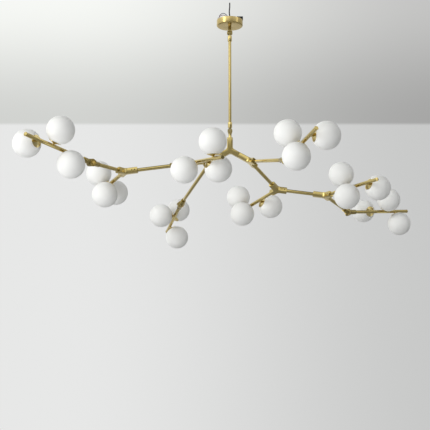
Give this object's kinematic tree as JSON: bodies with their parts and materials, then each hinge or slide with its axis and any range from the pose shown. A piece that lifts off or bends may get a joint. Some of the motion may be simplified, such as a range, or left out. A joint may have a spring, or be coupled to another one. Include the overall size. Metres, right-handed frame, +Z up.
{
  "type": "branch chandelier",
  "caption": "Flat branching brass chandelier on a downrod: Y hubs and tubes carry opal glass globes in spiral groups, with swivel joints at the rod and elbows.",
  "frame": {"origin": "middle of the ceiling bracket's top face, between its two screw holes, in the ceiling plane", "axes": "+Z up, +X along the bracket and the longest spread of the branches, +Y away from the picture's viewer"},
  "size_m": [1.8784, 1.5826, 1.108],
  "materials": {
    "satin_brass": "satin brushed along the length, clear lacquered",
    "polished_brass": "polished",
    "zinc_steel": "zinc plated",
    "dark_steel": "blackened",
    "black_plastic": "fine matte",
    "grey_plastic": "satin moulded",
    "wire_sleeve": "smooth insulation",
    "opal_glass": "satin opal, faintly warm",
    "porcelain": "glazed white",
    "lamp_glass": "frosted lamp glass"
  },
  "bodies": {
    "canopy_set": {"ceiling_bracket": "zinc_steel", "hollow_nipple": "zinc_steel", "lock_nuts": "zinc_steel", "canopy": "satin_brass", "driver": "black_plastic", "terminal_block": "grey_plastic", "supply_wires": "wire_sleeve", "upper_fork": "satin_brass", "upper_pin": "polished_brass"},
    "downrod_set": {"upper_tongue": "satin_brass", "downrod": "satin_brass", "lower_tongue": "satin_brass"},
    "branch_frame": {"lower_pin": "polished_brass", "lower_fork": "satin_brass", "main_hub": "satin_brass", "hub_right_1": "satin_brass", "hub_right_2": "satin_brass", "hub_right_3": "satin_brass", "hub_left_1": "satin_brass", "hub_left_2": "satin_brass", "hub_left_3": "satin_brass", "hub_nipples": "satin_brass", "grub_screws": "dark_steel", "links_right": "satin_brass", "links_left": "satin_brass", "elbow_forks": "satin_brass", "elbow_pins": "polished_brass", "fixed_rods": "satin_brass", "fixed_cups": "polished_brass", "fixed_globes": "opal_glass", "fixed_holders": "porcelain", "fixed_lamps": "lamp_glass"},
    "branch_left": {"tongue_left": "satin_brass", "rod_left": "satin_brass", "cups_left": "polished_brass", "globes_left": "opal_glass", "holders_left": "porcelain", "lamps_left": "lamp_glass"},
    "branch_back_left": {"tongue_back_left": "satin_brass", "rod_back_left": "satin_brass", "cups_back_left": "polished_brass", "globes_back_left": "opal_glass", "holders_back_left": "porcelain", "lamps_back_left": "lamp_glass"},
    "branch_front_right": {"tongue_front_right": "satin_brass", "rod_front_right": "satin_brass", "cups_front_right": "polished_brass", "globes_front_right": "opal_glass", "holders_front_right": "porcelain", "lamps_front_right": "lamp_glass"},
    "branch_back_right": {"tongue_back_right": "satin_brass", "rod_back_right": "satin_brass", "cups_back_right": "polished_brass", "globes_back_right": "opal_glass", "holders_back_right": "porcelain", "lamps_back_right": "lamp_glass"}
  },
  "joints": [
    {"name": "upper_swivel", "type": "hinge", "parent": "canopy_set", "child": "downrod_set", "pos_m": [0, 0, -0.063], "axis": [1, 0, 0], "range_deg": [-25, 25]},
    {"name": "lower_swivel", "type": "hinge", "parent": "downrod_set", "child": "branch_frame", "pos_m": [0, 0, -0.551], "axis": [0, 1, 0], "range_deg": [-25, 25]},
    {"name": "elbow_left", "type": "hinge", "parent": "branch_frame", "child": "branch_left", "pos_m": [-0.61326, -0.36152, -0.783], "axis": [-0.8202, 0.559, 0.1219], "range_deg": [-66, 54]},
    {"name": "elbow_back_left", "type": "hinge", "parent": "branch_frame", "child": "branch_back_left", "pos_m": [-0.24756, 0.43504, -0.8298], "axis": [0.5648, -0.0485, -0.8238], "range_deg": [-68, 52]},
    {"name": "elbow_front_right", "type": "hinge", "parent": "branch_frame", "child": "branch_front_right", "pos_m": [0.23838, -0.3547, -0.77016], "axis": [-0.8418, -0.2538, -0.4765], "range_deg": [-79, 41]},
    {"name": "elbow_back_right", "type": "hinge", "parent": "branch_frame", "child": "branch_back_right", "pos_m": [0.61423, 0.45884, -0.86561], "axis": [0.3199, -0.3502, -0.8803], "range_deg": [-91, 29]}
  ]
}
